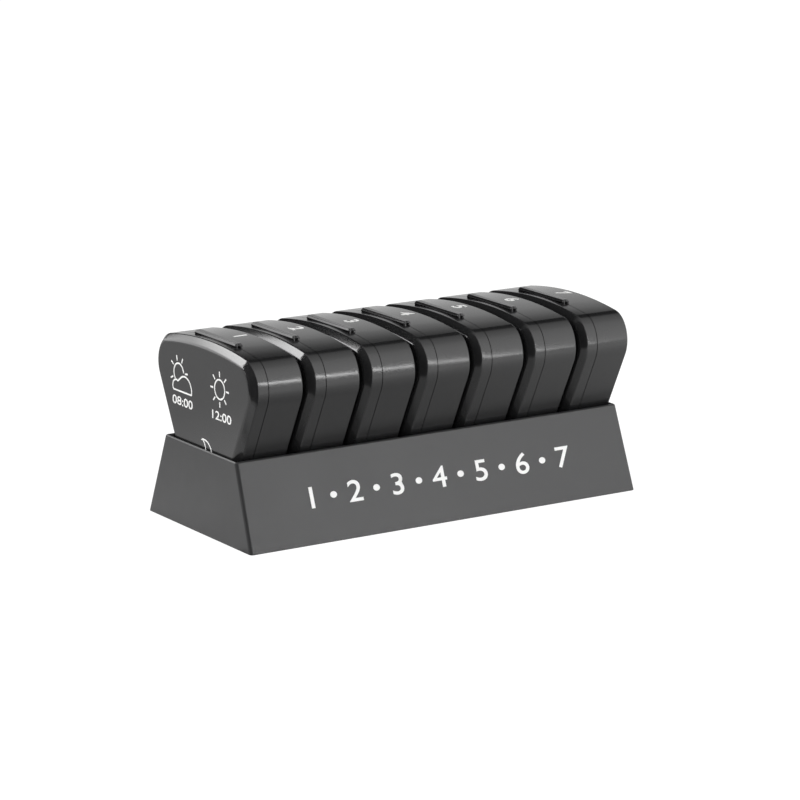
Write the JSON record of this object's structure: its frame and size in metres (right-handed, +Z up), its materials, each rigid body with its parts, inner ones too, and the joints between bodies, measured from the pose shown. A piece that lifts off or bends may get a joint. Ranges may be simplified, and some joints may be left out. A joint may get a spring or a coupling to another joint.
{
  "type": "weekly pill box",
  "caption": "Weekly pill box: slim hinged clamshell day boxes with ribbed thumb bars stand side by side in a flared tray and lift out by hand.",
  "frame": {"origin": "middle of the tray's footprint, on the surface it stands on", "axes": "+X along the row away from the lids, -Y out of the tray's front wall, +Z up"},
  "size_m": [0.1752, 0.0774, 0.0743],
  "materials": {
    "tray_black": "satin moulded black plastic",
    "box_black": "glossy moulded black plastic",
    "steel": "plain drawn steel wire"
  },
  "bodies": {
    "tray": {"tray": "tray_black"},
    "box_1": {"box_body_1": "box_black", "hinge_pin_1": "steel"},
    "lid_1": {"box_lid_1": "box_black"},
    "box_2": {"box_body_2": "box_black", "hinge_pin_2": "steel"},
    "lid_2": {"box_lid_2": "box_black"},
    "box_3": {"box_body_3": "box_black", "hinge_pin_3": "steel"},
    "lid_3": {"box_lid_3": "box_black"},
    "box_4": {"box_body_4": "box_black", "hinge_pin_4": "steel"},
    "lid_4": {"box_lid_4": "box_black"},
    "box_5": {"box_body_5": "box_black", "hinge_pin_5": "steel"},
    "lid_5": {"box_lid_5": "box_black"},
    "box_6": {"box_body_6": "box_black", "hinge_pin_6": "steel"},
    "lid_6": {"box_lid_6": "box_black"},
    "box_7": {"box_body_7": "box_black", "hinge_pin_7": "steel"},
    "lid_7": {"box_lid_7": "box_black"}
  },
  "joints": [
    {"name": "box_1_lift", "type": "slide", "parent": "tray", "child": "box_1", "axis": [0, 0, 1], "range_m": [0, 0.07]},
    {"name": "lid_1_hinge", "type": "hinge", "parent": "box_1", "child": "lid_1", "pos_m": [-0.07782, 0, 0.0082], "axis": [0, -1, 0], "range_deg": [0, 0.9]},
    {"name": "box_2_lift", "type": "slide", "parent": "tray", "child": "box_2", "axis": [0, 0, 1], "range_m": [0, 0.07]},
    {"name": "lid_2_hinge", "type": "hinge", "parent": "box_2", "child": "lid_2", "pos_m": [-0.05317, 0, 0.0082], "axis": [0, -1, 0], "range_deg": [0, 2]},
    {"name": "box_3_lift", "type": "slide", "parent": "tray", "child": "box_3", "axis": [0, 0, 1], "range_m": [0, 0.07]},
    {"name": "lid_3_hinge", "type": "hinge", "parent": "box_3", "child": "lid_3", "pos_m": [-0.02852, 0, 0.0082], "axis": [0, -1, 0], "range_deg": [0, 2]},
    {"name": "box_4_lift", "type": "slide", "parent": "tray", "child": "box_4", "axis": [0, 0, 1], "range_m": [0, 0.07]},
    {"name": "lid_4_hinge", "type": "hinge", "parent": "box_4", "child": "lid_4", "pos_m": [-0.00387, 0, 0.0082], "axis": [0, -1, 0], "range_deg": [0, 2]},
    {"name": "box_5_lift", "type": "slide", "parent": "tray", "child": "box_5", "axis": [0, 0, 1], "range_m": [0, 0.07]},
    {"name": "lid_5_hinge", "type": "hinge", "parent": "box_5", "child": "lid_5", "pos_m": [0.02078, 0, 0.0082], "axis": [0, -1, 0], "range_deg": [0, 2]},
    {"name": "box_6_lift", "type": "slide", "parent": "tray", "child": "box_6", "axis": [0, 0, 1], "range_m": [0, 0.07]},
    {"name": "lid_6_hinge", "type": "hinge", "parent": "box_6", "child": "lid_6", "pos_m": [0.04543, 0, 0.0082], "axis": [0, -1, 0], "range_deg": [0, 2]},
    {"name": "box_7_lift", "type": "slide", "parent": "tray", "child": "box_7", "axis": [0, 0, 1], "range_m": [0, 0.07]},
    {"name": "lid_7_hinge", "type": "hinge", "parent": "box_7", "child": "lid_7", "pos_m": [0.07007, 0, 0.0082], "axis": [0, -1, 0], "range_deg": [0, 2]}
  ]
}
